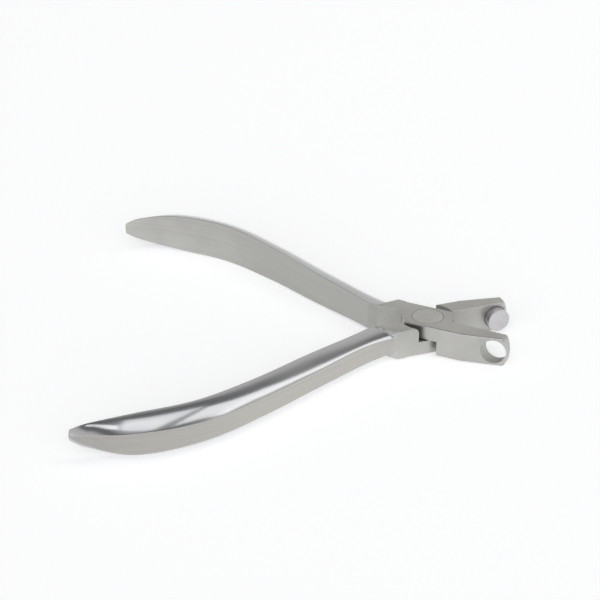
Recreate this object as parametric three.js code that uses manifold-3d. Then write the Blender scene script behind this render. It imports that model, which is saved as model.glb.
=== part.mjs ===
// Jewellery crimping pliers with a round punch post in one jaw and a matching round hole in the other.
// Two forged halves cross at a lap joint and turn on a flush rivet. Millimetres, +Z up.
// The origin is on the rivet's axis, at the underside of the joint. +X runs along the die half's jaw.
import * as THREE from "three";
import { mergeVertices } from "three/addons/utils/BufferGeometryUtils.js";
import Module from "manifold-3d";

const wasm = await Module();
wasm.setup();

// Driving dimensions
const jointThickness = 8; // height of the joint and of both jaws
const jointHalfWidth = 5.35; // from the centre line to the joint's straight sides
const lapRadius = 7.2; // round ends of the lap plates and the walls that they turn in
const turningGap = 0.2; // between a plate's round end and its wall, and between the two plates
const closedGap = 0.3; // left between the inner faces when the pliers are shut
const restOpening = THREE.MathUtils.degToRad(47); // angle between the halves as they lie

const blockOuterEnd = -10.2; // the full-thickness root block, on its outer side
const blockInnerEnd = -14.5; // the same end, at the inner face

const jawStraightEnd = 11.5; // the jaw starts to taper here
const jawReach = 22.4; // rivet axis to the jaw tip's corners
const jawTipBulge = 0.9; // how far the rounded tip stands past its corners
const jawTipWidth = 2.95; // inner face to outer face at the tip

const workReach = 19.8; // rivet axis to the axis of the hole and the post
const holeRadius = 3.25;
const postRadius = 3.05;
const postLength = 2.35; // how far the post stands out of its jaw
const postSeatDepth = 2;
const fittedGap = 0.08; // round a piece that is held tight or turns in its bore

const rivetHeadRadius = 4.1;
const rivetHeadHeight = 1.8;
const rivetShankRadius = 2.4;
const rivetTailRadius = 3.3; // spread end, flush with the underside
const rivetTailHeight = 0.9;

// Handle sections from the joint to the tip, for the half whose handle is on the +Y side when shut.
// along: distance behind the rivet. inner: inner face's distance from the centre line.
// oval: depth of the half-oval that stands on the inner face, and power: its exponent.
// half: half the height of the inner face. band: half the height of the flat planed on the outer side.
const handleSections = [
  { along: 12, inner: -2.3, oval: 9.9, half: 3.3, band: 2.0, power: 1.75 },
  { along: 22, inner: 2.3, oval: 7.2, half: 3.85, band: 2.5, power: 1.8 },
  { along: 37, inner: 8.65, oval: 6.75, half: 4.5, band: 2.4, power: 1.85 },
  { along: 54, inner: 16.3, oval: 6.65, half: 5.05, band: 2.5, power: 1.8 },
  { along: 71, inner: 22.0, oval: 7.1, half: 5.55, band: 2.6, power: 1.7 },
  { along: 87, inner: 22.0, oval: 8.3, half: 5.2, band: 2.9, power: 1.6 },
  { along: 97.5, inner: 19.8, oval: 3.4, half: 3.45, band: 1.45, power: 1.5 },
  { along: 101.5, inner: 18.3, oval: 0.8, half: 1.7, band: 0.2, power: 1.5 },
];

// Fineness of the facets
const roundSides = 48;
const handleRings = 44;
const curveSteps = 7; // along each curved side of a handle section
const slopeStep = 1e-3; // share of the handle over which its direction is read

const halfThickness = jointThickness / 2;
const innerFace = closedGap / 2;
const spare = 2; // how far a cutting tool runs past what it cuts
const roomy = 300; // a block this big holds all of one handle

// A closed geometry as a solid that can be joined and cut.
function solid(geometry) {
  const bare = geometry.clone();
  bare.deleteAttribute("normal");
  bare.deleteAttribute("uv");
  const merged = mergeVertices(bare, 1e-5);
  return new wasm.Manifold(
    new wasm.Mesh({
      numProp: 3,
      vertProperties: new Float32Array(merged.attributes.position.array),
      triVerts: new Uint32Array(merged.index.array),
    }),
  );
}

function geometryOf(made) {
  const mesh = made.getMesh();
  const geometry = new THREE.BufferGeometry();
  geometry.setAttribute("position", new THREE.BufferAttribute(mesh.vertProperties, 3));
  geometry.setIndex(new THREE.BufferAttribute(mesh.triVerts, 1));
  geometry.computeVertexNormals();
  return geometry;
}

// A flat outline made solid between two heights.
function plate(shape, low, high) {
  const settings = { depth: high - low, bevelEnabled: false, curveSegments: roundSides / 2 };
  return solid(new THREE.ExtrudeGeometry(shape, settings).translate(0, 0, low));
}

function outline(points) {
  return new THREE.Shape(points.map(([x, y]) => new THREE.Vector2(x, y)));
}

// An upright cylinder on the rivet's axis.
function roundBar(radius, low, high) {
  const bar = new THREE.CylinderGeometry(radius, radius, high - low, roundSides);
  return solid(bar.rotateX(Math.PI / 2).translate(0, 0, (low + high) / 2));
}

// A cylinder along Y on the axis of the hole and the post, halfway up the jaw.
function workBar(radius, low, high) {
  const bar = new THREE.CylinderGeometry(radius, radius, high - low, roundSides);
  return bar.translate(workReach, (low + high) / 2, 0);
}

// Smooth value at share t of a run of evenly spaced stations (a Catmull-Rom curve).
function smooth(stations, key, t) {
  const last = stations.length - 1;
  const place = t * last;
  const i = Math.min(Math.floor(place), last - 1);
  const at = (n) => stations[Math.min(Math.max(n, 0), last)][key];
  const w = place - i;
  const rise = (at(i + 1) - at(i - 1)) / 2;
  const nextRise = (at(i + 2) - at(i)) / 2;
  const cubic = 2 * (at(i) - at(i + 1)) + rise + nextRise;
  const square = 3 * (at(i + 1) - at(i)) - 2 * rise - nextRise;
  return ((cubic * w + square) * w + rise) * w + at(i);
}

// The corners of one handle section as [depth from the inner face, height], anticlockwise from the top.
function sectionCorners(t) {
  const [oval, half, band, power] = ["oval", "half", "band", "power"].map((key) =>
    smooth(handleSections, key, t),
  );
  const bandDepth = oval * (1 - (band / half) ** power) ** (1 / power);
  const upper = [];
  for (let k = 0; k <= curveSteps; k++) {
    const turn = (k / curveSteps) * Math.PI * 0.5;
    const depth = bandDepth * Math.sin(turn);
    const height = half * (1 - (depth / oval) ** power) ** (1 / power);
    upper.push([depth, height]);
  }
  const lower = upper.map(([depth, height]) => [depth, -height]).reverse();
  return [...upper, [bandDepth, 0], ...lower, [0, 0]];
}

// The handle as a skin over rings of corners, closed by a fan at each end.
function handle() {
  const rings = [];
  const centre = (t) =>
    new THREE.Vector2(-smooth(handleSections, "along", t), smooth(handleSections, "inner", t));
  for (let r = 0; r <= handleRings; r++) {
    const t = r / handleRings;
    const here = centre(t);
    const ahead = centre(Math.min(t + slopeStep, 1));
    const run = ahead.sub(centre(Math.max(t - slopeStep, 0))).normalize();
    const ring = sectionCorners(t).map(([depth, height]) => [
      here.x + run.y * depth,
      here.y - run.x * depth,
      height,
    ]);
    rings.push(ring);
  }
  const around = rings[0].length;
  const points = rings.flat();
  const faces = [];
  for (let r = 0; r < handleRings; r++) {
    for (let k = 0; k < around; k++) {
      const next = (k + 1) % around;
      const [a, b] = [r * around + k, r * around + next];
      const [c, d] = [a + around, b + around];
      faces.push(a, b, d, a, d, c);
    }
  }
  const tipStart = handleRings * around;
  for (let k = 1; k < around - 1; k++) {
    faces.push(0, k + 1, k);
    faces.push(tipStart, tipStart + k, tipStart + k + 1);
  }
  const geometry = new THREE.BufferGeometry();
  geometry.setAttribute("position", new THREE.Float32BufferAttribute(points.flat(), 3));
  geometry.setIndex(faces);
  const room = new THREE.BoxGeometry(roomy, roomy, roomy).translate(0, roomy / 2 + innerFace, 0);
  return solid(geometry).intersect(solid(room));
}

// The upper lap plate: a disc with two straight sides.
function lapPlate() {
  const radius = lapRadius - turningGap / 2;
  const corner = Math.asin(jointHalfWidth / radius);
  const shape = new THREE.Shape();
  shape.absarc(0, 0, radius, -corner, corner, false);
  shape.absarc(0, 0, radius, Math.PI - corner, Math.PI + corner, false);
  shape.closePath();
  return plate(shape, turningGap / 2, halfThickness);
}

// The full-thickness block between the joint and the handle.
function rootBlock() {
  const shape = outline([
    [0, innerFace],
    [0, jointHalfWidth],
    [blockOuterEnd, jointHalfWidth],
    [blockInnerEnd, innerFace],
  ]);
  return plate(shape, -halfThickness, halfThickness);
}

// The jaw: its tapered plan, cut to a side view whose tip is a shallow arc.
function jaw() {
  const reach = jawReach + jawTipBulge;
  const slope = (jointHalfWidth - innerFace - jawTipWidth) / (jawReach - jawStraightEnd);
  const tipEdge = -innerFace - jawTipWidth + slope * jawTipBulge;
  const plan = outline([
    [0, -innerFace],
    [0, -jointHalfWidth],
    [jawStraightEnd, -jointHalfWidth],
    [reach, tipEdge],
    [reach, -innerFace],
  ]);
  const tipRadius = (halfThickness ** 2 + jawTipBulge ** 2) / (2 * jawTipBulge);
  const spread = Math.asin(halfThickness / tipRadius);
  const side = new THREE.Shape();
  side.moveTo(-spare, -halfThickness);
  side.lineTo(jawReach, -halfThickness);
  side.absarc(reach - tipRadius, 0, tipRadius, -spread, spread, false);
  side.lineTo(-spare, halfThickness);
  const sideView = plate(side, -jointHalfWidth, jointHalfWidth + spare);
  const upright = sideView.rotate([90, 0, 0]);
  return plate(plan, -halfThickness, halfThickness).intersect(upright);
}

// One forging, with its handle on +Y, its jaw on -Y and its lap plate above. Z is 0 halfway up.
function forging() {
  const wall = roundBar(lapRadius + turningGap / 2, -halfThickness - spare, turningGap / 2);
  return rootBlock().add(jaw()).subtract(wall).add(lapPlate()).add(handle());
}

// Where the rivet passes: its head's counterbore, the bore and the countersink for its spread tail.
function rivetProfile(gap) {
  const headFloor = halfThickness - rivetHeadHeight - gap;
  const tailTop = -halfThickness + rivetTailHeight;
  return [
    [0, -halfThickness],
    [rivetTailRadius + gap, -halfThickness],
    [rivetShankRadius + gap, tailTop],
    [rivetShankRadius + gap, headFloor],
    [rivetHeadRadius + gap, headFloor],
    [rivetHeadRadius + gap, halfThickness],
    [0, halfThickness],
  ].map(([radius, height]) => new THREE.Vector2(radius, height));
}

function rivetShape(gap) {
  const turned = new THREE.LatheGeometry(rivetProfile(gap), roundSides);
  return turned.rotateX(Math.PI / 2);
}

function dieHalf() {
  const hole = solid(workBar(holeRadius, -jointHalfWidth - spare, spare));
  return forging().subtract(hole).subtract(solid(rivetShape(fittedGap)));
}

// The other half is the same forging turned over about the X axis, with a blind seat for the post.
function punchHalf() {
  const seat = solid(workBar(postRadius + fittedGap, -spare, innerFace + postSeatDepth));
  return forging().rotate([180, 0, 0]).subtract(seat).subtract(solid(rivetShape(fittedGap)));
}

function punchPost() {
  return workBar(postRadius, innerFace - postLength, innerFace + postSeatDepth - fittedGap);
}

function steel(color, roughness) {
  return new THREE.MeshStandardMaterial({ color, roughness, metalness: 1 });
}

function piece(name, geometry, material) {
  const mesh = new THREE.Mesh(geometry, material);
  mesh.name = name;
  return mesh;
}

const upperBody = new THREE.Group();
upperBody.add(piece("die_half", geometryOf(dieHalf()), steel(0xb9b8b3, 0.42)));
upperBody.add(piece("pivot_rivet", rivetShape(0), steel(0xb4b3ae, 0.4)));

const lowerBody = new THREE.Group();
lowerBody.add(piece("punch_half", geometryOf(punchHalf()), steel(0xb9b8b3, 0.42)));
lowerBody.add(piece("punch_post", punchPost(), steel(0xc6c6c8, 0.3)));
lowerBody.rotation.z = restOpening;

const pliers = new THREE.Group();
pliers.add(upperBody, lowerBody);
pliers.position.z = halfThickness;

export default pliers;
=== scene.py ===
import math

import bmesh
import bpy
import numpy as np
from mathutils import Matrix, Vector


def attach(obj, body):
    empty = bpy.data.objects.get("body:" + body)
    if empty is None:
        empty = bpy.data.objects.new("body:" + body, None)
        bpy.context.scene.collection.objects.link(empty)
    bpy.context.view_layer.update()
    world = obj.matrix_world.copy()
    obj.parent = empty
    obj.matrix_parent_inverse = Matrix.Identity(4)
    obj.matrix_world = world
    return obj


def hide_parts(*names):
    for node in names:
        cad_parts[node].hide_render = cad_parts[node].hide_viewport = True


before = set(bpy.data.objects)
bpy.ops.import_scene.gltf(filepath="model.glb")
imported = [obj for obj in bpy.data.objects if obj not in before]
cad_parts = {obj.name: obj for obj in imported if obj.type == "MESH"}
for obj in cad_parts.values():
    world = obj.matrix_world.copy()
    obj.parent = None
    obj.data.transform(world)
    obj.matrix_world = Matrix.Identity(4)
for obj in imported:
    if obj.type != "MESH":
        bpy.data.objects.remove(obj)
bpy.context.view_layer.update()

# Crimping pliers: two forged steel halves that cross at a lap joint and turn on a flush rivet,
# with a round punch post in one jaw and a matching round hole in the other.
# Sizes are millimetres until a mesh is made. The die half is drawn shut, with its jaw along +X,
# its handle on +Y and its mid-height at z = 0. The punch half is the same forging turned over,
# with a seat for the post instead of the hole.
mm = 0.001
mergeDistance = 0.001
near = 0.01  # points this close count as being in one place
roundSteps = 96  # points round a turned shape
cornerTurn = {"outer": 45, "inner": 30, "rim": 34, "turned": 30}  # degrees that make a corner
smoothBelow = 38  # degrees up to which faces are shaded as one surface

joint = {
    "halfHeight": 4.0,  # half the thickness of the joint and the jaws
    "halfWidth": 5.35,
    "lapRadius": 6.9,  # round ends of the lap plate
    "wallRadius": 7.21,  # the wall that the other half's plate turns in
    "wallFlare": 1.0,  # how far the wall's mouth is rounded back
    "wallFlareDepth": 1.8,
    "lapFloor": 0.1,  # underside of the upper plate
    "innerFace": 0.15,
    "blockOuterEnd": -10.2,
    "blockInnerEnd": -14.5,
    "restOpening": 47.0,  # degrees between the halves as they lie
    "chamfer": 0.4,  # outer edges
    "discChamfer": 0.12,  # round ends of the lap plate
    "edgeRound": 0.36,  # edges of the inner faces
    "edgeSteps": 4,
    "arcPoints": 9,  # points along each round end of the lap plate
    "wallSteps": 128,  # points round the turning wall
    "mouthPoints": 8,  # down its rounded mouth
}
jaw = {
    "straightEnd": 11.5,
    "reach": 22.4,
    "tipBulge": 0.9,
    "tipWidth": 2.95,
    "tipFrom": 22,  # corners beyond this belong to the tip
    "tipPoints": 13,  # down the arc of the tip
    "workReach": 19.8,  # rivet axis to the axis of the hole and the post
    "holeRadius": 3.25,
    "seatRadius": 3.13,
    "seatDepth": 2.0,
    "rimRound": 0.08,  # mouths of the hole and the seat
    "rimSteps": 2,
    "punchTipCorner": 1.1,  # the punch jaw's outer tip corner is rounded in plan
    "cornerPoints": 9,
    "thinWallFrom": 22.3,  # beyond this, the wall between hole and tip is too thin for a rounded rim
}
rivet = {
    "headRadius": 4.1,
    "headHeight": 1.8,
    "shankRadius": 2.4,
    "tailRadius": 3.3,
    "tailHeight": 0.9,
    "gap": 0.08,
    "edgeRound": 0.06,
    "edgeSteps": 2,
}
post = {
    "radius": 3.05,
    "length": 2.35,
    "edgeRound": 0.16,
    "edgeSteps": 3,
}
handle = {
    # distance behind the rivet, inner face's distance from the centre line, depth of the half-oval,
    # half the inner face's height, half the planed band's height, and the oval's exponent
    "along": [12, 22, 37, 54, 71, 87, 97.5, 101.5],
    "inner": [-2.3, 2.3, 8.65, 16.3, 22.0, 22.0, 19.8, 18.3],
    "oval": [8.0, 6.2, 6.75, 6.65, 7.1, 8.3, 3.4, 0.8],
    "half": [3.7, 3.9, 4.5, 5.05, 5.55, 5.2, 3.45, 1.7],
    "band": [2.0, 2.5, 2.4, 2.5, 2.6, 2.9, 1.45, 0.2],
    "power": [2.5, 2.35, 1.85, 1.8, 1.7, 1.6, 1.5, 1.5],
    "shoulder": 0.84,  # length over which the block's end runs down into the handle
    "creaseRound": 0.1,  # edges of the planed band
    "innerRound": 0.2,  # edges of the inner face
    "edgeSteps": 3,
    "fullRoundAt": 4,  # half the inner face's height from which its edges are fully rounded
    "tipRound": 0.5,
    "tipAngles": [20, 38, 54, 68, 80, 87],  # one closing ring at each
    "pathPoints": 500,  # steps in which a point's place along the handle is looked for
    "ringsAtBlock": 60,  # rings over the first tenth, where the block runs down into the handle
    "ringsBeyond": 104,
    "curvePoints": 18,  # from the inner face to the planed band
    "curveSpacing": 0.9,  # under 1 sets them closer towards the band
    "cornerPoint": 14,  # the one that ends at the block's corner
    "flatPoints": 7,  # across the band and across the inner face
    "clear": 0.004,  # the handle's root stays this far inside the block's sides
    "clearHeight": 0.03,  # and this far under its top
}

# What a face is, kept as a material number while the forging is put together.
faceKinds = range(5)
satinFace, wornEdge, polishedSide, planedBand, innerFlat = faceKinds


# Closed rings of points, one row to a ring, joined by quads and shut by one flat face at each end.
def ringFaces(rings):
    count, around = rings.shape[:2]
    start = (np.arange(count - 1) * around)[:, None]
    here = np.arange(around)[None, :]
    ahead = (here + 1) % around
    corners = [start + here, start + ahead, start + ahead + around, start + here + around]
    sides = np.stack(corners, axis=-1)
    first = np.arange(around)[::-1]
    last = (count - 1) * around + np.arange(around)
    return sides.reshape(-1, 4), first, last


# Reads one property of all points, edges or faces, width numbers to a row.
def asArray(items, name, width):
    values = np.zeros(len(items) * width, np.float32)
    items.foreach_get(name, values)
    return values.reshape(-1, width)


# Sets the share of a later bevel that each edge takes.
def setBevelWeights(mesh, weight):
    name = "bevel_weight_edge"
    store = mesh.attributes.get(name) or mesh.attributes.new(name, "FLOAT", "EDGE")
    store.data.foreach_set("value", weight.astype(np.float32))


# A solid from such rings. marks gives the kind of each lengthwise strip of faces, and weights the
# share of a later bevel that the lengthwise edges take, by ring and by place in the ring.
def makeSolid(name, rings, marks=None, weights=None):
    rings = np.asarray(rings, float)
    sides, first, last = ringFaces(rings)
    faces = sides.tolist() + [first.tolist(), last.tolist()]
    mesh = bpy.data.meshes.new(name)
    mesh.from_pydata((rings.reshape(-1, 3) * mm).tolist(), [], faces)
    thing = bpy.data.objects.new(name, mesh)
    bpy.context.scene.collection.objects.link(thing)
    for kind in faceKinds:
        mesh.materials.append(None)
    count, around = rings.shape[:2]
    kinds = np.zeros(len(faces), np.int32)
    if marks is not None:
        kinds[: len(sides)] = np.tile(marks, count - 1)
        kinds[len(sides):] = wornEdge
    mesh.polygons.foreach_set("material_index", kinds)
    if weights is not None:
        ends = asArray(mesh.edges, "vertices", 2).astype(int)
        ringOf, placeOf = ends // around, ends % around
        lengthwise = ringOf[:, 0] != ringOf[:, 1]
        setBevelWeights(mesh, np.where(lengthwise, weights[ringOf.max(axis=1), placeOf[:, 0]], 0.0))
    mesh.update()
    return thing


# Swaps an object's mesh for the one that its modifiers make, with doubled points merged.
def settle(thing):
    bpy.context.view_layer.update()
    shaped = thing.evaluated_get(bpy.context.evaluated_depsgraph_get())
    made = bpy.data.meshes.new_from_object(shaped)
    thing.modifiers.clear()
    work = bmesh.new()
    work.from_mesh(made)
    bmesh.ops.remove_doubles(work, verts=work.verts, dist=mergeDistance * mm)
    work.to_mesh(made)
    work.free()
    old = thing.data
    thing.data = made
    bpy.data.meshes.remove(old)
    return thing


# Cuts another solid away, adds it, or keeps only what both share. The other solid is used up.
def combine(thing, other, operation):
    cut = thing.modifiers.new(operation.title(), "BOOLEAN")
    cut.operation = operation
    cut.solver = "EXACT"
    cut.material_mode = "INDEX"
    cut.object = other
    settle(thing)
    bpy.data.objects.remove(other)


# Bevels the edges that carry a weight, or with an angle given, all that turn more sharply.
def soften(thing, width, steps, angle=None):
    bevel = thing.modifiers.new("Bevel", "BEVEL")
    bevel.width = width * mm
    bevel.segments = steps
    bevel.use_clamp_overlap = False
    bevel.material = wornEdge
    bevel.miter_outer = "MITER_ARC"
    if angle is None:
        bevel.limit_method = "WEIGHT"
    else:
        bevel.limit_method = "ANGLE"
        bevel.angle_limit = math.radians(angle)
    return settle(thing)


# A flat outline carried straight up from one height to another.
def plate(name, outline, low, high):
    outline = np.asarray(outline, float)
    rings = [np.column_stack([outline, np.full(len(outline), height)]) for height in (low, high)]
    return makeSolid(name, rings)


# A circle carried along an upright axis, its radius read from a list of [radius, height].
# A third number is added to the radius on the block's side, and fades to nothing on the jaw's.
# Every face round the side is of the one kind.
def turned(name, profile, sides=roundSteps, kind=satinFace):
    turn = np.linspace(0, 2 * np.pi, sides, endpoint=False)
    profile = np.asarray(profile, float)
    radius, height = profile[:, :1], profile[:, 1:2]
    if profile.shape[1] > 2:
        radius = radius + profile[:, 2:] * np.clip(0.5 - 2 * np.cos(turn), 0, 1)
    rings = np.stack([radius * np.cos(turn), radius * np.sin(turn), height + 0 * turn], axis=-1)
    return makeSolid(name, rings, np.full(sides, kind))


# The same, but about the level axis of the hole and the post, where heights run along +Y.
def turnedAcross(name, profile, kind=satinFace):
    thing = turned(name, profile, roundSteps, kind)
    place = Matrix.Translation((jaw["workReach"] * mm, 0, 0)) @ Matrix.Rotation(-math.pi / 2, 4, "X")
    thing.data.transform(place)
    return thing


# Points on a circle = radius (cos turn, sin turn), from one angle to another in degrees.
def arc(radius, start, end, steps):
    turn = np.radians(np.linspace(start, end, steps))
    return np.column_stack([radius * np.cos(turn), radius * np.sin(turn)])


# The plan of the whole joint body: block, lap disc with two straight sides, and tapered jaw.
# The rounded tip corner = its first end (1 - bend)^2 + its last end bend^2, about the sharp corner.
def bodyPlan(tipCorner):
    side, inner, radius = joint["halfWidth"], joint["innerFace"], joint["lapRadius"]
    corner = math.degrees(math.asin(side / radius))
    meet = math.degrees(math.asin(inner / radius))
    slope = (side - inner - jaw["tipWidth"]) / (jaw["reach"] - jaw["straightEnd"])
    reach = jaw["reach"] + jaw["tipBulge"]
    tipEdge = -inner - jaw["tipWidth"] + slope * jaw["tipBulge"]
    bend = np.linspace(0, 1, jaw["cornerPoints"] if tipCorner else 1)[:, None]
    back = np.array([-1, -slope]) * tipCorner
    tipCurve = [reach, tipEdge] + back * (1 - bend) ** 2 + np.array([0, tipCorner]) * bend**2
    return np.vstack([
        [[joint["blockInnerEnd"], inner]],
        arc(radius, 180 - meet, 180 + corner, joint["arcPoints"]),
        [[jaw["straightEnd"], -side]],
        tipCurve,
        [[reach, -inner]],
        arc(radius, -meet, corner, joint["arcPoints"]),
        [[joint["blockOuterEnd"], side]],
    ])


# The side view of the jaw: straight, with a shallow arc at the tip, carried across the joint.
# The arc's steps stay clear of the corners, where the chamfer runs.
def sideView():
    half, bulge = joint["halfHeight"], jaw["tipBulge"]
    over, behind, beside = 0.5, -30.0, 20  # its ends, clear of the joint body
    clearShare = 0.83  # of the half height, up to which the arc has steps
    radius = (half**2 + bulge**2) / (2 * bulge)
    rise = half * np.sin(np.linspace(-np.pi / 2, np.pi / 2, jaw["tipPoints"])) * clearShare
    rise[[0, -1]] = [-half - over, half + over]
    tip = np.column_stack([jaw["reach"] + bulge - radius + np.sqrt(radius**2 - rise**2), rise])
    outline = np.vstack([[[behind, -half - over]], tip, [[behind, half + over]]])
    across = [np.full(len(outline), y) for y in (beside, -beside)]
    return makeSolid("sideView", [np.column_stack([outline[:, 0], y, outline[:, 1]]) for y in across])


# The rivet from tail to head as [radius, height]. With a gap it is the bore's cutter, which is
# wider by the gap and runs on past the joint's top and underside.
def rivetProfile(gap):
    half = joint["halfHeight"]
    headFloor = half - rivet["headHeight"] - gap
    tailTop = rivet["tailHeight"] - half
    over = 1.0 if gap else 0.0
    grow = over * (rivet["tailRadius"] - rivet["shankRadius"]) / rivet["tailHeight"]
    return [
        [rivet["tailRadius"] + gap + grow, -half - over],
        [rivet["shankRadius"] + gap, tailTop],
        [rivet["shankRadius"] + gap, headFloor],
        [rivet["headRadius"] + gap, headFloor],
        [rivet["headRadius"] + gap, half + over],
    ]


# Sets the share of the bevel that each edge takes, from its two ends and how sharply it turns.
def weighEdges(thing, rule):
    mesh = thing.data
    work = bmesh.new()
    work.from_mesh(mesh)
    turns = {}
    for edge in work.edges:
        turns[tuple(sorted(corner.index for corner in edge.verts))] = edge.calc_face_angle_signed(0.0)
    work.free()
    points = asArray(mesh.vertices, "co", 3) / mm
    ends = asArray(mesh.edges, "vertices", 2).astype(int)
    turn = np.degrees([turns[tuple(sorted(pair))] for pair in ends.tolist()])
    setBevelWeights(mesh, rule(points[ends[:, 0]], points[ends[:, 1]], turn))
    return thing


# The edges between an inner face and the joint's top or underside.
def isInner(start, end, turn):
    side, high = joint["innerFace"] + near, joint["halfHeight"] - near
    flat = (np.abs(start[:, 1]) < side) & (np.abs(end[:, 1]) < side)
    level = (np.abs(start[:, 2]) > high) & (np.abs(end[:, 2]) > high)
    return flat & level & (turn > cornerTurn["inner"])


# All square corners but those at a rounded tip. The round ends of the lap plate take less.
def outerEdges(roundedTip):
    def rule(start, end, turn):
        middle = (start + end) / 2
        tip = (middle[:, 0] > jaw["tipFrom"]) & (np.abs(middle[:, 1]) > joint["innerFace"] + 5 * near)
        away = [np.linalg.norm(spot[:, :2], axis=1) - joint["lapRadius"] for spot in (start, end)]
        onDisc = np.abs(away).max(axis=0) < near
        sharp = (turn > cornerTurn["outer"]) & ~isInner(start, end, turn) & ~(tip & roundedTip)
        return sharp * np.where(onDisc, joint["discChamfer"] / joint["chamfer"], 1.0)
    return rule


def innerEdges(start, end, turn):
    return isInner(start, end, turn).astype(float)


# A rim lies all at one distance from the axis of the hole, or of the rivet's bore.
def rimEdges(workRadius):
    def rule(start, end, turn):
        weight = np.zeros(len(start))
        for radius, pick, middle, share in (
            (workRadius, [0, 2], [jaw["workReach"], 0], 1.0),
            (rivet["headRadius"] + rivet["gap"], [0, 1], [0, 0], rivet["edgeRound"] / jaw["rimRound"]),
        ):
            away = [np.linalg.norm(spot[:, pick] - middle, axis=1) - radius for spot in (start, end)]
            thin = np.maximum(start[:, 0], end[:, 0]) > jaw["thinWallFrom"]
            onRim = np.abs(away).max(axis=0) < 2 * near
            weight[onRim & (turn > cornerTurn["rim"]) & ~thin] = share
        return weight
    return rule


# The turning wall's cutter: upright, then rounded back at its mouth along most of a quarter of
# an ellipse: flare (1 - sqrt(1 - rise^2)).
def wallProfile():
    half, radius = joint["halfHeight"], joint["wallRadius"]
    outermost, over = 0.93, 2
    rise = np.linspace(outermost, 0, joint["mouthPoints"])[:, None]
    flare = joint["wallFlare"] * (1 - np.sqrt(1 - rise**2))
    mouth = np.hstack([radius + 0 * rise, joint["wallFlareDepth"] * (outermost - rise) - half, flare])
    return np.vstack([[[radius, -half - over, flare[0, 0]]], mouth, [[radius, joint["lapFloor"], 0]]])


# The joint body = plan by side view, edges eased, less the turning wall, the bore, and the hole
# or the post's seat.
def jointBody(name, hasHole):
    half = joint["halfHeight"]
    body = plate(name, bodyPlan(0 if hasHole else jaw["punchTipCorner"]), -half, half)
    combine(body, sideView(), "INTERSECT")
    soften(weighEdges(body, outerEdges(not hasHole)), joint["chamfer"], 1)
    soften(weighEdges(body, innerEdges), joint["edgeRound"], joint["edgeSteps"])
    combine(body, turned("wall", wallProfile(), joint["wallSteps"]), "DIFFERENCE")
    combine(body, turned("bore", rivetProfile(rivet["gap"])), "DIFFERENCE")
    below, above = -9, 3  # heights clear of the jaw
    if hasHole:
        # the hole's bore is marked as an inner face, so it takes the inner face's painted root shade
        workRadius, floor, kind = jaw["holeRadius"], below, innerFlat
    else:
        workRadius, floor, kind = jaw["seatRadius"], -joint["innerFace"] - jaw["seatDepth"], satinFace
    tool = turnedAcross("workTool", [[workRadius, floor], [workRadius, above]], kind)
    combine(body, tool, "DIFFERENCE")
    return soften(weighEdges(body, rimEdges(workRadius)), jaw["rimRound"], jaw["rimSteps"])


# Smooth values at shares t of a run of evenly spaced stations (a Catmull-Rom curve).
def smooth(key, t):
    values = np.asarray(handle[key], float)
    last = len(values) - 1
    i = np.minimum((t * last).astype(int), last - 1)
    w = t * last - i
    at = lambda n: values[np.clip(n, 0, last)]
    rise = (at(i + 1) - at(i - 1)) / 2
    nextRise = (at(i + 2) - at(i)) / 2
    cubic = 2 * (at(i) - at(i + 1)) + rise + nextRise
    square = 3 * (at(i + 1) - at(i)) - 2 * rise - nextRise
    return ((cubic * w + square) * w + rise) * w + at(i)


# The inner face's path in plan, and its direction = the step between two points close together.
def centreLine(t):
    pathAt = lambda share: np.column_stack([-smooth("along", share), smooth("inner", share)])
    step = 1e-3
    run = pathAt(np.minimum(t + step, 1)) - pathAt(np.maximum(t - step, 0))
    return pathAt(t), run / np.linalg.norm(run, axis=1, keepdims=True)


# How far a point lies behind the slanted end of the block = its offset from the block's outer
# corner, crossed with the direction of that end.
def beyondBlock(x, y):
    alongEnd = joint["blockInnerEnd"] - joint["blockOuterEnd"]
    end = np.array([alongEnd, joint["innerFace"] - joint["halfWidth"]])
    end = end / np.linalg.norm(end)
    return (x - joint["blockOuterEnd"]) * end[1] - (y - joint["halfWidth"]) * end[0]


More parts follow.
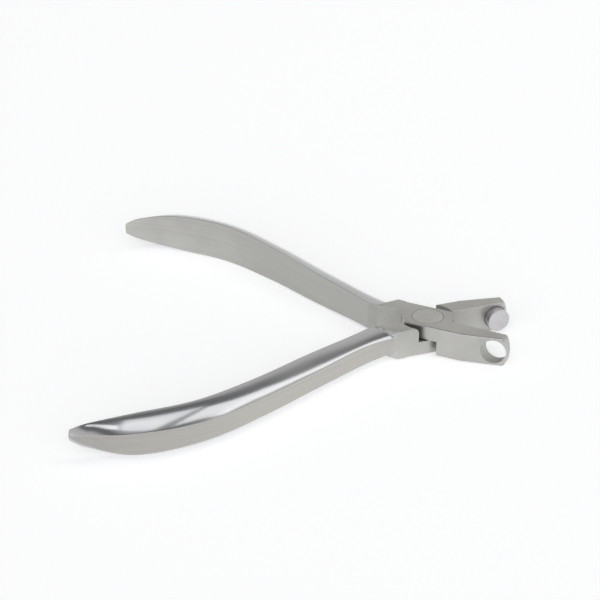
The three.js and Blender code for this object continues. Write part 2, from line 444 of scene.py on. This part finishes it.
# Each ring is half an oval standing on the flat inner face and cut off by the planed outer band:
# height = half (1 - (depth / oval) ^ power) ^ (1 / power), from the inner face to the band's depth.
# Near the block every ring runs out to the block's own rectangle, along a cosine.
# The tip is a low dome: the last ring shrinks by the cosine of an angle and moves on by its sine.
def handleSolid(name):
    tenth = 0.1
    atBlock = np.linspace(0, tenth, handle["ringsAtBlock"])
    t = np.concatenate([atBlock, np.linspace(tenth, 1, handle["ringsBeyond"])[1:]])
    here, run = centreLine(t)
    oval, half, band, power = [smooth(key, t)[:, None] for key in ("oval", "half", "band", "power")]
    bandDepth = oval * (1 - (band / half) ** power) ** (1 / power)
    toInner = joint["innerFace"] + handle["clear"] - here[:, 1]
    start = np.maximum(toInner / -run[:, 0], 0)[:, None]
    share = (np.linspace(0, 1, handle["curvePoints"]) ** handle["curveSpacing"])[None, :]
    depth = start + (bandDepth - start) * share
    height = half * (1 - (depth / oval) ** power) ** (1 / power)
    flatSteps = np.linspace(1, -1, handle["flatPoints"])[None, 1:-1]
    nearly = joint["halfHeight"] - handle["clearHeight"]
    reach = ((joint["halfWidth"] - handle["clear"] - here[:, 1]) / -run[:, 0])[:, None]
    turnAt = share[0, handle["cornerPoint"]]
    blockDepth = start + (reach - start) * np.minimum(share / turnAt, 1)
    downSide = np.clip((share - turnAt) / (1 - turnAt), 0, 1)
    blockHeight = nearly - (nearly - band) * downSide
    innerHeight = height[:, :1]
    # round the ring: upper curve, band, lower curve, inner face; once as handle and once as block
    depths = np.hstack([depth, bandDepth + 0 * flatSteps, depth[:, ::-1], start + 0 * flatSteps])
    heights = np.hstack([height, band * flatSteps, -height[:, ::-1], -innerHeight * flatSteps])
    blockDepths = np.hstack([
        blockDepth, reach + 0 * flatSteps, blockDepth[:, ::-1], start + 0 * flatSteps,
    ])
    blockHeights = np.hstack([
        blockHeight, band * flatSteps, -blockHeight[:, ::-1], -nearly * flatSteps + 0 * band,
    ])
    place = lambda d: (here[:, :1] + run[:, 1:] * d, here[:, 1:] - run[:, :1] * d)
    x, y = place(depths)
    xBlock, yBlock = place(blockDepths)
    blend = 0.5 + 0.5 * np.cos(np.pi * np.clip(beyondBlock(x, y) / handle["shoulder"], 0, 1))
    rings = np.stack([
        x + (xBlock - x) * blend,
        y + (yBlock - y) * blend,
        heights + (blockHeights - heights) * blend,
    ], axis=-1)
    steps, flats = depth.shape[1], flatSteps.shape[1]
    around = rings.shape[1]
    marks = np.full(around, polishedSide)
    marks[steps - 1: steps + flats] = planedBand
    marks[2 * steps + flats - 1:] = innerFlat
    weights = np.zeros(around)
    weights[[0, 2 * steps + flats - 1]] = 1.0
    weights[[steps - 1, steps + flats]] = handle["creaseRound"] / handle["innerRound"]
    bend = np.radians(handle["tipAngles"])[:, None, None]
    middle = rings[-1].mean(axis=0)
    onward = np.array([run[-1, 0], run[-1, 1], 0.0]) * handle["tipRound"]
    dome = middle + (rings[-1] - middle) * np.cos(bend) + onward * np.sin(bend)
    rings = np.concatenate([rings, dome])
    size = np.minimum(half[:, 0] / handle["fullRoundAt"], 1) ** 2
    spread = np.concatenate([size, np.zeros(len(bend))])[:, None] * weights[None, ::-1]
    solid = makeSolid(name, rings[:, ::-1], marks[::-1][np.r_[1:around, 0]], spread)
    return soften(solid, handle["innerRound"], handle["edgeSteps"])


# One half of the pliers = joint body and handle, joined.
def forging(name, hasHole):
    body = jointBody(name, hasHole)
    combine(body, handleSolid("handleTool"), "UNION")
    return body


# Notes on the mesh, for the materials to read: what each face is, how far each point lies along
# the handle, out from its inner face and up, and how far behind the block's end.
def writeFinish(thing):
    mesh = thing.data
    kinds = np.zeros(len(mesh.polygons), np.int32)
    mesh.polygons.foreach_get("material_index", kinds)
    named = {"worn": wornEdge, "polished": polishedSide, "planed": planedBand, "flat": innerFlat}
    for name, kind in named.items():
        store = mesh.attributes.new(name, "FLOAT", "FACE")
        store.data.foreach_set("value", (kinds == kind).astype(np.float32))
    points = asArray(mesh.vertices, "co", 3) / mm
    t = np.linspace(0, 1, handle["pathPoints"])
    here, run = centreLine(t)
    length = np.concatenate([[0], np.cumsum(np.linalg.norm(np.diff(here, axis=0), axis=1))])
    gap = np.linalg.norm(points[:, None, :2] - here[None], axis=2)
    nearest = gap.argmin(axis=1)
    offset = points[:, :2] - here[nearest]
    along = length[nearest] + (offset * run[nearest]).sum(axis=1)
    depth = offset[:, 0] * run[nearest, 1] - offset[:, 1] * run[nearest, 0]
    lay = np.column_stack([along, depth, points[:, 2]]) * mm
    store = mesh.attributes.new("lay", "FLOAT_VECTOR", "POINT")
    store.data.foreach_set("vector", lay.astype(np.float32).ravel())
    beyond = beyondBlock(points[:, 0], points[:, 1]) * mm
    store = mesh.attributes.new("beyond", "FLOAT", "POINT")
    store.data.foreach_set("value", beyond.astype(np.float32))
    mesh.polygons.foreach_set("material_index", np.zeros(len(kinds), np.int32))


# Puts a mesh in its place at rest, gives it its material and smooth shading, hangs it on the empty of the
# body that it rides on, and hides the imported part that it stands for.
def finishPiece(thing, material, place, body, node):
    thing.data.transform(place)
    thing.data.materials.clear()
    thing.data.materials.append(material)
    thing.data.polygons.foreach_set("use_smooth", np.ones(len(thing.data.polygons), bool))
    thing.data.set_sharp_from_angle(angle=math.radians(smoothBelow))
    thing.data.update()
    smoothing = thing.modifiers.new("WeightedNormal", "WEIGHTED_NORMAL")
    smoothing.keep_sharp = True
    smoothing.weight = 60
    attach(thing, body)
    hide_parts(node)
    print("made", thing.name, len(thing.data.polygons), "faces")


# A number or colour that changes over a surface, so that shader maths reads as plain sums.
class Value:
    def __init__(self, bench, socket):
        self.bench = bench
        self.socket = socket

    def math(self, operation, other):
        return self.bench.node("ShaderNodeMath", {"operation": operation}, {0: self, 1: other})

    def __add__(self, other):
        return self.math("ADD", other)

    def __sub__(self, other):
        return self.math("SUBTRACT", other)

    def __mul__(self, other):
        return self.math("MULTIPLY", other)

    def __radd__(self, other):
        return self.math("ADD", other)

    def __rmul__(self, other):
        return self.math("MULTIPLY", other)

    def __rsub__(self, other):
        return self.bench.node("ShaderNodeMath", {"operation": "SUBTRACT"}, {0: other, 1: self})

    def fitted(self, low, high, newLow=0.0, newHigh=1.0):
        spans = {"From Min": low, "From Max": high, "To Min": newLow, "To Max": newHigh}
        return self.bench.node("ShaderNodeMapRange", {"clamp": True}, {"Value": self, **spans})


# Where one material's or the world's nodes are made: settings first, then numbers or links.
class Bench:
    def __init__(self, owner):
        self.tree = owner.node_tree
        self.tree.nodes.clear()

    def node(self, kind, settings=None, inputs=None, output=0):
        made = self.tree.nodes.new(kind)
        for key, value in (settings or {}).items():
            if key == "stops":
                self.setStops(made.color_ramp, value)
            else:
                setattr(made, key, value)
        for key, value in (inputs or {}).items():
            if isinstance(value, Value):
                self.tree.links.new(value.socket, made.inputs[key])
            else:
                made.inputs[key].default_value = value
        return Value(self, made.outputs[output]) if made.outputs else made

    def setStops(self, ramp, stops):
        while len(ramp.elements) < len(stops):
            ramp.elements.new(1.0)
        for element, (place, colour) in zip(ramp.elements, stops):
            element.position = place
            element.color = (*colour, 1.0)

    def attribute(self, name, output="Fac"):
        return self.node("ShaderNodeAttribute", {"attribute_name": name}, {}, output)

    def noise(self, vector, scale, detail, stretch=(1, 1, 1)):
        placed = self.node("ShaderNodeMapping", {}, {"Vector": vector, "Scale": stretch})
        return self.node("ShaderNodeTexNoise", {}, {
            "Vector": placed, "Scale": scale, "Detail": detail,
        })

    def blend(self, factor, first, second):
        return self.node("ShaderNodeMix", {"data_type": "RGBA"}, {0: factor, 6: first, 7: second}, 2)


def newMaterial(name):
    material = bpy.data.materials.new(name)
    material.use_nodes = True
    return material, Bench(material)


forgedLook = {
    "satin": (0.515, 0.51, 0.487, 1),
    "satinDark": (0.445, 0.44, 0.42, 1),
    "polished": (0.52, 0.525, 0.535, 1),
    "planed": (0.50, 0.485, 0.45, 1),
    # the planed band's colour at the tip, darker: painted shade
    "planedTipShade": (0.42, 0.405, 0.385, 1),
    "innerRootShade": (0.43, 0.43, 0.405, 1),  # inner face near the joint and the hole's bore, darker: painted shade
    "streak": (0.30, 0.29, 0.27, 1),
    "worn": (0.52, 0.52, 0.51, 1),
    "satinRoughness": 0.40,
    "polishedRoughness": 0.16,
    "planedRoughness": 0.30,
    "wornRoughness": 0.24,
    "blotch": (90, 3),  # noise scale and detail, then the share of that scale along, out and up
    "grain": (5200, 2),
    "brushed": (900, 3, (0.035, 1, 6)),
    "across": (1400, 2, (5, 0.2, 0.2)),
    "streaks": (700, 4, (0.03, 1, 2.0)),
    "polishStart": (0.0003, 0.0009),  # metres behind the block over which the finish sets in
    "planedStart": (0.0, 0.008),
    "tipShadeFade": (0.055, 0.09),  # metres along the handle over which the band darkens: painted shade
    "rootShadeFade": (0.05, 0.075),  # and over which the inner face's painted root shade ends
    "blotchSpan": (0.35, 0.65),  # the noise that runs from dark to light
    "streakSpan": (0.42, 0.75),  # and from clean to streaked
    "streakShare": 0.24,
    "polishStreaks": 0.5,  # how much of that reaches the polish
    "wornShare": 0.8,
    "roughSwing": {"blotch": 0.12, "grain": 0.1, "brushed": 0.10, "across": 0.04},
    "bumpShare": {"grain": 0.5, "brushed": 0.6, "across": 0.10},
    "bumpStrength": 0.25,
    "bumpDistance": 0.00004,
}


# Colour = satin moved by blotches, and over it by what the face is: polished, planed (darker towards the
# tip, a painted shade), the inner face's root (darker near the joint and in the hole's bore, a painted
# shade), dark streaks along the handle, and worn edges.
# Roughness = satin moved by blotches and grain, run towards polished, planed or worn by what the
# face is, and moved by lines brushed along the band and lines across the polish.
# Bump = grain away from the polish, brushed lines on the band and cross lines on the polish.
def forgedSteel(name, look):
    material, bench = newMaterial(name)
    lay = bench.attribute("lay", "Vector")
    beyond = bench.attribute("beyond")
    polished = bench.attribute("polished") * beyond.fitted(*look["polishStart"])
    planed = bench.attribute("planed") * beyond.fitted(*look["planedStart"])
    worn = bench.attribute("worn")
    flat = bench.attribute("flat")
    along = bench.node("ShaderNodeSeparateXYZ", {}, {0: lay}, 0)
    blotch = bench.noise(lay, *look["blotch"])
    grain = bench.noise(lay, *look["grain"])
    brushed = bench.noise(lay, *look["brushed"])
    across = bench.noise(lay, *look["across"])
    streaks = bench.noise(lay, *look["streaks"])
    colour = bench.blend(blotch.fitted(*look["blotchSpan"]), look["satinDark"], look["satin"])
    colour = bench.blend(polished, colour, look["polished"])
    # painted shade: the planed band darkens towards the tip
    band = bench.blend(along.fitted(*look["tipShadeFade"]), look["planed"], look["planedTipShade"])
    colour = bench.blend(planed, colour, band)
    # painted shade: the inner face is darker near the joint and in the hole's bore
    rootShade = flat * along.fitted(*look["rootShadeFade"], 1.0, 0.0)
    colour = bench.blend(rootShade, colour, look["innerRootShade"])
    marked = planed + flat + polished * look["polishStreaks"]
    handled = marked * streaks.fitted(*look["streakSpan"])
    colour = bench.blend(handled * look["streakShare"], colour, look["streak"])
    colour = bench.blend(worn * look["wornShare"], colour, look["worn"])
    swing, bump = look["roughSwing"], look["bumpShare"]
    roughness = look["satinRoughness"] + (blotch - 0.5) * swing["blotch"] + (grain - 0.5) * swing["grain"]
    roughness = roughness + polished * (look["polishedRoughness"] - roughness)
    roughness = roughness + planed * (look["planedRoughness"] - roughness)
    roughness = roughness + worn * (look["wornRoughness"] - roughness)
    roughness = roughness + (brushed - 0.5) * swing["brushed"] * planed
    roughness = roughness + (across - 0.5) * swing["across"] * polished
    height = grain * (1 - polished) * bump["grain"] + brushed * planed * bump["brushed"]
    height = height + across * polished * bump["across"]
    normal = bench.node("ShaderNodeBump", {}, {
        "Height": height, "Strength": look["bumpStrength"], "Distance": look["bumpDistance"],
    })
    steel = bench.node("ShaderNodeBsdfPrincipled", {}, {
        "Base Color": colour, "Metallic": 1.0, "Roughness": roughness, "Normal": normal,
    })
    bench.node("ShaderNodeOutputMaterial", {}, {"Surface": steel})
    return material


plainLook = {
    "blotch": (160, 3),  # noise scale and detail
    "grain": (5200, 2),
    "blotchSpan": (0.35, 0.65),
    "roughSwing": 0.1,
    "bumpStrength": 0.2,
    "bumpDistance": 0.00003,
}
rivetLook = {"colour": (0.57, 0.565, 0.54, 1), "dark": (0.50, 0.495, 0.475, 1), "roughness": 0.40}
postLook = {"colour": (0.62, 0.61, 0.63, 1), "dark": (0.55, 0.54, 0.56, 1), "roughness": 0.28}


# One plain steel: colour = dark to light by blotches, roughness = its own moved by blotches and
# grain, bump = grain.
def plainSteel(name, look):
    material, bench = newMaterial(name)
    spot = bench.node("ShaderNodeTexCoord", {}, {}, "Object")
    blotch = bench.noise(spot, *plainLook["blotch"])
    grain = bench.noise(spot, *plainLook["grain"])
    shade = bench.blend(blotch.fitted(*plainLook["blotchSpan"]), look["dark"], look["colour"])
    swing = plainLook["roughSwing"]
    roughness = look["roughness"] + (blotch - 0.5) * swing + (grain - 0.5) * swing
    normal = bench.node("ShaderNodeBump", {}, {
        "Height": grain, "Strength": plainLook["bumpStrength"], "Distance": plainLook["bumpDistance"],
    })
    steel = bench.node("ShaderNodeBsdfPrincipled", {}, {
        "Base Color": shade, "Metallic": 1.0, "Roughness": roughness, "Normal": normal,
    })
    bench.node("ShaderNodeOutputMaterial", {}, {"Surface": steel})
    return material


lift = Matrix.Translation((0, 0, joint["halfHeight"] * mm))
turnOver = Matrix.Rotation(math.pi, 4, "X")
openTurn = Matrix.Rotation(math.radians(joint["restOpening"]), 4, "Z")
punchPlace = openTurn @ lift @ turnOver

steelForged = forgedSteel("satinForgedSteel", forgedLook)
steelRivet = plainSteel("satinRivetSteel", rivetLook)
steelPost = plainSteel("groundPostSteel", postLook)
print("materials ready")

dieHalf = forging("dieForging", True)
writeFinish(dieHalf)
finishPiece(dieHalf, steelForged, lift, "die_side", "die_half")

punchHalf = forging("punchForging", False)
writeFinish(punchHalf)
finishPiece(punchHalf, steelForged, punchPlace, "punch_side", "punch_half")

pin = turned("flushRivet", rivetProfile(0))
soften(pin, rivet["edgeRound"], rivet["edgeSteps"], cornerTurn["turned"])
finishPiece(pin, steelRivet, lift, "die_side", "pivot_rivet")

postEnd = joint["innerFace"] - post["length"]
postRoot = joint["innerFace"] + jaw["seatDepth"] - rivet["gap"]
peg = turnedAcross("punchPost", [[post["radius"], postEnd], [post["radius"], postRoot]])
soften(peg, post["edgeRound"], post["edgeSteps"], cornerTurn["turned"])
finishPiece(peg, steelPost, openTurn @ lift, "punch_side", "punch_post")

ground = {
    "touches": [(-72, 25, -1.6), (-31, -70, -1.6), (22, -2, -0.05)],  # two handle bellies and the jaw
    "radius": 5000.0,
    "colour": (0.87, 0.875, 0.88, 1),
    "roughness": 0.85,
    "gloss": 0.2,
    "glow": 0.46,  # an opal table, lit from below
    "glowColour": (0.985, 0.99, 1, 1),
}


# A flat round floor = a circle on the plane through the three places where the tool rests.
def floorPlane():
    first, second, third = [Vector(place) for place in ground["touches"]]
    normal = (third - first).cross(second - first).normalized()
    normal = normal if normal.z > 0 else -normal
    turn = np.linspace(0, 2 * np.pi, roundSteps, endpoint=False)
    x, y = ground["radius"] * np.cos(turn), ground["radius"] * np.sin(turn)
    z = first.z - (normal.x * (x - first.x) + normal.y * (y - first.y)) / normal.z
    mesh = bpy.data.meshes.new("floor")
    mesh.from_pydata((np.column_stack([x, y, z]) * mm).tolist(), [], [list(range(len(turn)))])
    floor = bpy.data.objects.new("floor", mesh)
    bpy.context.scene.collection.objects.link(floor)
    material, bench = newMaterial("paleFloor")
    paper = bench.node("ShaderNodeBsdfPrincipled", {}, {
        "Base Color": ground["colour"], "Roughness": ground["roughness"],
        "Specular IOR Level": ground["gloss"],
        "Emission Color": ground["glowColour"], "Emission Strength": ground["glow"],
    })
    bench.node("ShaderNodeOutputMaterial", {}, {"Surface": paper})
    mesh.materials.append(material)


floorPlane()

light = {
    "room": 0.10,  # what the floor sees all round
    "front": 1.9,  # and more from low at the front
    "frontAzimuth": -64,
    "frontElevation": 12,
    "frontSpan": (0.35, 1.0),  # cosine of the angle from its middle, from its edge inwards
    "key": 2.5,
    "keySize": 0.8,
    "keyAzimuth": 31,
    "keyElevation": 56,
    "side": 0.5,
    "sideSize": 0.34,
    "sideAzimuth": -158,
    "sideElevation": 66,
    "top": 2.0,
    "topSize": 0.84,
    "topAzimuth": 120,
    "topElevation": 84,
    "distance": 1.6,
    "aim": (-0.03, -0.02, 0),
}
# Tones of the room, from straight down at 0 over level at 0.5 to straight up at 1.
roomTones = [
    (0.0, (0.9, 0.9, 0.9)),
    (0.50, (0.92, 0.92, 0.91)),
    (0.56, (0.84, 0.84, 0.83)),
    (0.71, (0.78, 0.775, 0.76)),
    (0.787, (0.74, 0.735, 0.72)),
    (0.835, (0.68, 0.675, 0.66)),
    (0.862, (0.52, 0.515, 0.51)),
    (0.885, (0.30, 0.30, 0.30)),
    (0.905, (0.20, 0.205, 0.21)),
    (0.945, (0.20, 0.205, 0.21)),
    (0.975, (0.45, 0.46, 0.47)),
    (0.992, (0.60, 0.61, 0.62)),
    (1.0, (0.45, 0.46, 0.47)),
]


# The unit vector that points to an azimuth and an elevation, both in degrees.
def directionOf(azimuth, elevation):
    turn, rise = math.radians(azimuth), math.radians(elevation)
    return Vector((math.cos(rise) * math.cos(turn), math.cos(rise) * math.sin(turn), math.sin(rise)))


# The room = a grey that depends on how high the direction points, as the steel sees it.
# The floor sees a dim grey, with more light from low at the front.
def studioRoom():
    world = bpy.data.worlds.new("studio")
    bpy.context.scene.world = world
    world.use_nodes = True
    bench = Bench(world)
    direction = bench.node("ShaderNodeTexCoord", {}, {}, "Generated")
    height = bench.node("ShaderNodeSeparateXYZ", {}, {0: direction}, 2)
    shade = bench.node("ShaderNodeValToRGB", {"stops": roomTones}, {0: height * 0.5 + 0.5})
    seen = bench.node("ShaderNodeLightPath", {}, {}, "Is Glossy Ray")
    toFront = tuple(directionOf(light["frontAzimuth"], light["frontElevation"]))
    facing = bench.node("ShaderNodeVectorMath", {"operation": "DOT_PRODUCT"}, {
        0: direction, 1: toFront,
    }, 1)
    onFloor = light["room"] + light["front"] * facing.fitted(*light["frontSpan"])
    grey = bench.node("ShaderNodeCombineXYZ", {}, {0: onFloor, 1: onFloor, 2: onFloor})
    shade = bench.blend(seen, grey, shade)
    background = bench.node("ShaderNodeBackground", {}, {"Color": shade, "Strength": 1.0})
    bench.node("ShaderNodeOutputWorld", {}, {"Surface": background})


# A square lamp that looks from its place to the aim and isn't itself in view.
def softbox(name, watts, width, place, aim):
    lamp = bpy.data.lights.new(name, "AREA")
    lamp.shape = "SQUARE"
    lamp.size = width
    lamp.energy = watts
    holder = bpy.data.objects.new(name, lamp)
    holder.location = place
    holder.rotation_euler = (Vector(aim) - Vector(place)).to_track_quat("-Z", "Y").to_euler()
    holder.visible_camera = False
    bpy.context.scene.collection.objects.link(holder)


studioRoom()
for lamp in ("key", "side", "top"):
    spot = directionOf(light[lamp + "Azimuth"], light[lamp + "Elevation"]) * light["distance"]
    softbox(lamp + "Softbox", light[lamp], light[lamp + "Size"], spot, light["aim"])

view = {
    "azimuth": 25.8,
    "elevation": 27.55,
    "roll": 0.25,
    "distance": 530.26,  # from the pivot, along the view
    "aimLeft": 33.36,  # the middle of the frame, from the pivot
    "aimUp": 7.77,
    "lens": 121.37,
}


# The camera stands off from the middle of the joint, along a line turned by the azimuth and tilted
# down by the elevation. It is rolled about that line, and moved left and up to its aim.
def placeCamera():
    turn = Matrix.Rotation(math.radians(view["azimuth"]), 3, "Z")
    tilt, roll = math.radians(view["elevation"]), math.radians(view["roll"])
    forward = turn @ Vector((0, math.cos(tilt), -math.sin(tilt)))
    levelRight = turn @ Vector((1, 0, 0))
    levelUp = turn @ Vector((0, math.sin(tilt), math.cos(tilt)))
    right = math.cos(roll) * levelRight + math.sin(roll) * levelUp
    up = math.cos(roll) * levelUp - math.sin(roll) * levelRight
    aim = Vector((0, 0, joint["halfHeight"])) - view["aimLeft"] * right + view["aimUp"] * up
    place = (aim - view["distance"] * forward) * mm
    lens = bpy.data.cameras.new("camera")
    lens.lens = view["lens"]
    lens.sensor_width = 36
    lens.clip_start = 0.01
    lens.clip_end = 50
    camera = bpy.data.objects.new("camera", lens)
    frameAxes = Matrix((right, up, -forward)).transposed().to_4x4()
    camera.matrix_world = Matrix.Translation(place) @ frameAxes
    bpy.context.scene.collection.objects.link(camera)
    bpy.context.scene.camera = camera


placeCamera()
bpy.context.scene.view_settings.view_transform = "Standard"
print("studio ready")
